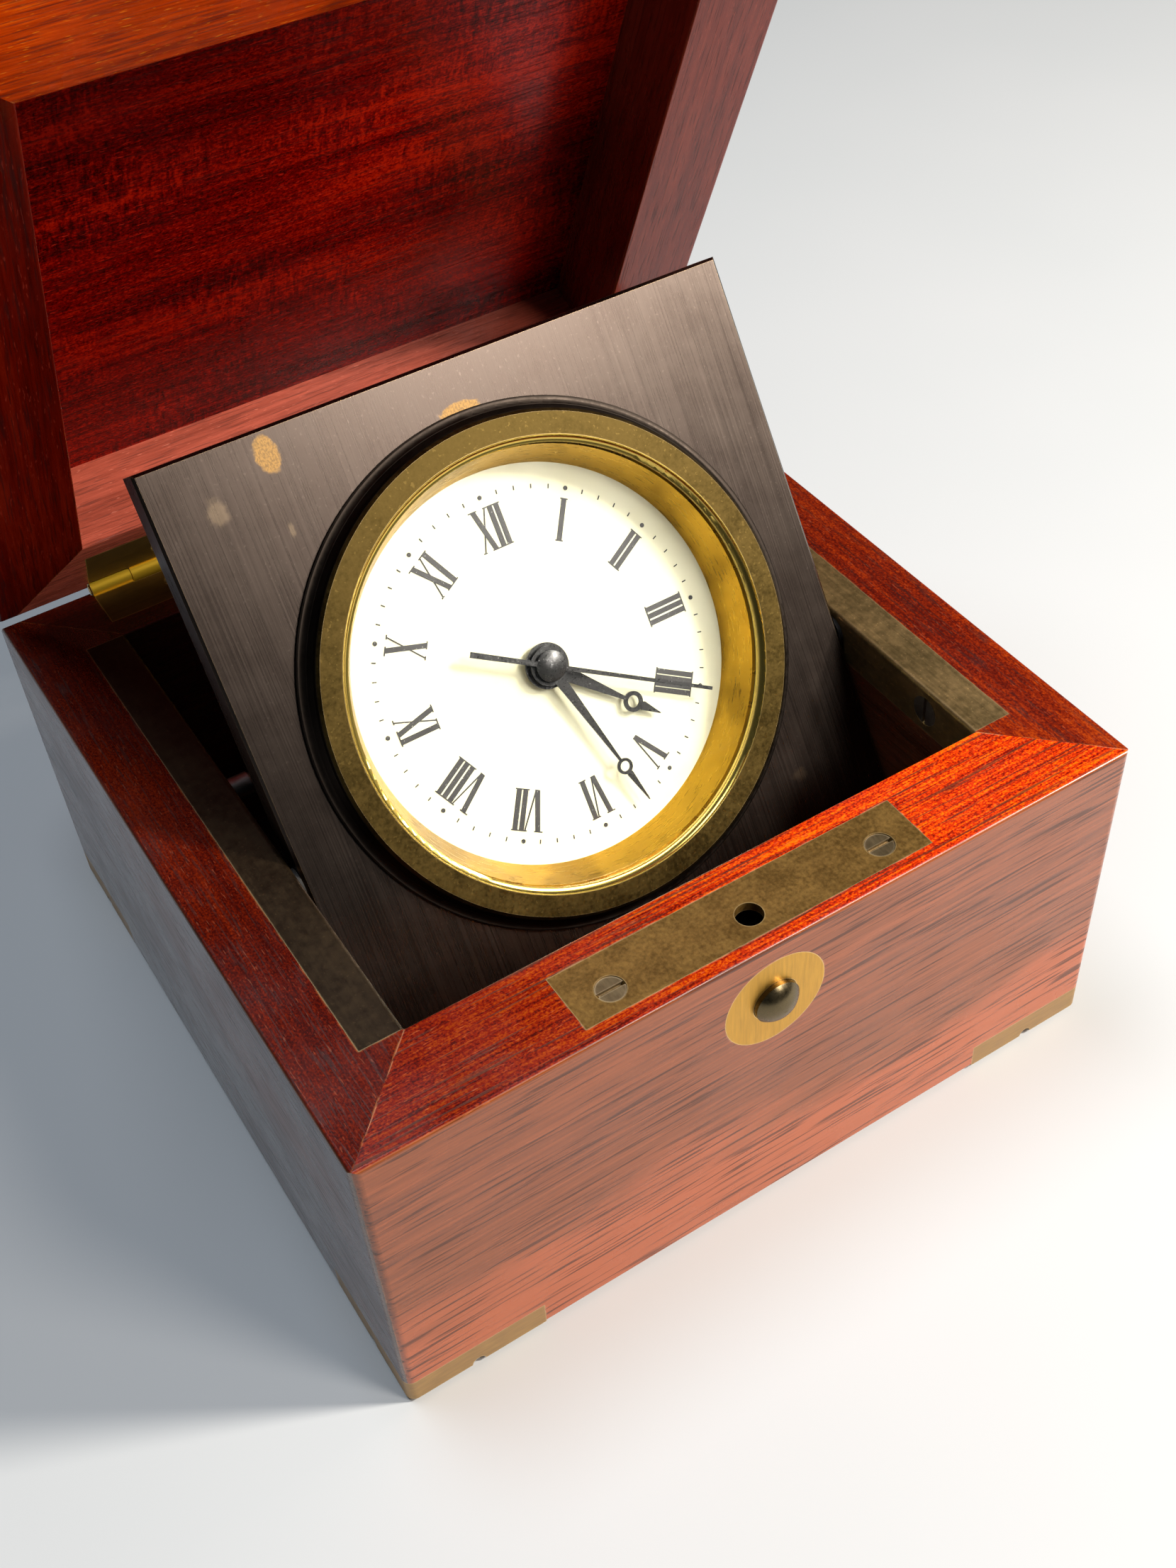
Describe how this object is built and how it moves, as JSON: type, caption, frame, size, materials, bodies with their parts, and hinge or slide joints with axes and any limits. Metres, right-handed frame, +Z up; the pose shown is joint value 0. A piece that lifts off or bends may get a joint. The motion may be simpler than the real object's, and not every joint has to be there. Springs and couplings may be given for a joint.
{
  "type": "boxed deck clock",
  "caption": "Square mahogany box with a hinged lid, open, and a tilting brass-plated quartz clock with a round bezel and Roman dial.",
  "frame": {"origin": "centre of the base's flat underside", "axes": "+Z up, -Y towards the front with the push button, +Y towards the hinges, +X to the right seen from the front"},
  "size_m": [0.127, 0.1479, 0.1824],
  "materials": {
    "mahogany": "polished mahogany, worn at the edges",
    "ribbon_mahogany": "polished figured mahogany",
    "inner_wood": "plain sealed wood",
    "lining": "dark cloth",
    "felt": "felt",
    "aged_brass": "aged, toned brass, brushed",
    "golden_brass": "golden brass",
    "bronze": "dark bronzed brass, fine brushing",
    "dark_steel": "dark toned steel",
    "steel": "plain steel",
    "black_fibre": "pressed fibre",
    "rubber": "matte",
    "crystal": "clear flat glass",
    "dial_white": "satin white",
    "black_print": "printed ink",
    "black_hands": "black lacquer",
    "black_plastic": "moulded",
    "copper": "coil, board and stator",
    "wheel_brass": "thin brass wheels"
  },
  "bodies": {
    "base": {"base_front_board": "mahogany", "base_right_board": "mahogany", "base_rear_board": "mahogany", "base_left_board": "mahogany", "bottom_panel": "inner_wood", "floor_lining": "lining", "base_felt": "felt", "corner_brasses": "aged_brass", "corner_screws": "golden_brass", "lock_plate": "aged_brass", "lock_plate_screws": "dark_steel", "escutcheon": "golden_brass", "catch_spring": "steel", "rail_left": "aged_brass", "rail_right": "aged_brass", "rail_screws": "steel", "rest_studs": "steel", "pivot_pins": "steel", "friction_washers": "black_fibre", "hinge_leaves_lower": "golden_brass", "hinge_pins": "golden_brass", "hinge_screws_lower": "golden_brass"},
    "latch": {"push_button": "bronze", "catch_slide": "steel"},
    "lid": {"lid_front_rail": "mahogany", "lid_right_rail": "mahogany", "lid_rear_rail": "mahogany", "lid_left_rail": "mahogany", "lid_panel": "ribbon_mahogany", "lid_latch_plate": "aged_brass", "lid_latch_screws": "dark_steel", "latch_stud": "dark_steel", "hinge_leaves_upper": "golden_brass", "hinge_screws_upper": "golden_brass"},
    "clock": {"clock_plate": "bronze", "bezel": "bronze", "crystal": "crystal", "crystal_gasket": "rubber", "rehaut_ring": "golden_brass", "dial": "dial_white", "dial_markers": "black_print", "case_can": "steel", "case_back": "steel", "retaining_ring": "steel", "retaining_screws": "steel", "movement_case": "black_plastic", "movement_cover": "black_plastic", "coil_and_board": "copper", "battery": "steel"},
    "seconds": {"seconds_hand": "black_hands", "seconds_wheel": "wheel_brass"},
    "third": {"third_wheel": "wheel_brass"},
    "minutes": {"minute_hand": "black_hands", "minute_wheel": "wheel_brass"},
    "motion": {"motion_wheel": "wheel_brass"},
    "hours": {"hour_hand": "black_hands", "hour_wheel": "wheel_brass"},
    "setting": {"setting_knob": "steel"},
    "rotor": {"rotor": "steel"},
    "rotor_gear": {"rotor_wheel": "wheel_brass"}
  },
  "joints": [
    {"name": "lid_hinge", "type": "hinge", "parent": "base", "child": "lid", "pos_m": [0, 0.06125, 0.06015], "axis": [-1, 0, 0], "range_deg": [-65.3, 34.7]},
    {"name": "clock_tilt", "type": "hinge", "parent": "base", "child": "clock", "pos_m": [0, -0.0139, 0.056], "axis": [1, 0, 0], "range_deg": [-56, 30]},
    {"name": "button_press", "type": "slide", "parent": "base", "child": "latch", "axis": [0, 1, 0], "range_m": [0, 0.0022], "stiffness_N_per_m": 400, "springref_m": -0.001, "deforming": ["catch_spring"]},
    {"name": "seconds_spin", "type": "hinge", "parent": "clock", "child": "seconds", "pos_m": [0, -0.00016, 0.0635], "axis": [0, 0.829, -0.5592], "continuous": true},
    {"name": "minute_spin", "type": "hinge", "parent": "clock", "child": "minutes", "pos_m": [0, -0.00016, 0.0635], "axis": [0, 0.829, -0.5592], "continuous": true},
    {"name": "hour_spin", "type": "hinge", "parent": "clock", "child": "hours", "pos_m": [0, -0.00016, 0.0635], "axis": [0, 0.829, -0.5592], "continuous": true},
    {"name": "third_wheel_spin", "type": "hinge", "parent": "clock", "child": "third", "pos_m": [0.0051, 0.00478, 0.07082], "axis": [0, 0.829, -0.5592], "continuous": true},
    {"name": "motion_wheel_spin", "type": "hinge", "parent": "clock", "child": "motion", "pos_m": [0.0084, -0.00016, 0.0635], "axis": [0, 0.829, -0.5592], "continuous": true},
    {"name": "setting_knob_spin", "type": "hinge", "parent": "clock", "child": "setting", "pos_m": [0.0168, -0.00016, 0.0635], "axis": [0, 0.829, -0.5592], "continuous": true},
    {"name": "rotor_gear_spin", "type": "hinge", "parent": "clock", "child": "rotor_gear", "pos_m": [-0.00491, -0.00208, 0.06064], "axis": [0, 0.829, -0.5592], "continuous": true},
    {"name": "rotor_spin", "type": "hinge", "parent": "clock", "child": "rotor", "pos_m": [-0.00683, -0.00503, 0.05628], "axis": [0, 0.829, -0.5592], "continuous": true}
  ],
  "couplings": [
    {"joint": "clock_tilt", "follows": "lid_hinge", "ratio": 0.8575},
    {"joint": "minute_spin", "follows": "seconds_spin", "ratio": 0.016667},
    {"joint": "hour_spin", "follows": "seconds_spin", "ratio": 0.0013889},
    {"joint": "third_wheel_spin", "follows": "seconds_spin", "ratio": -0.13333},
    {"joint": "motion_wheel_spin", "follows": "seconds_spin", "ratio": -0.0055556},
    {"joint": "setting_knob_spin", "follows": "seconds_spin", "ratio": 0.016667},
    {"joint": "rotor_gear_spin", "follows": "seconds_spin", "ratio": -5},
    {"joint": "rotor_spin", "follows": "seconds_spin", "ratio": 30}
  ]
}
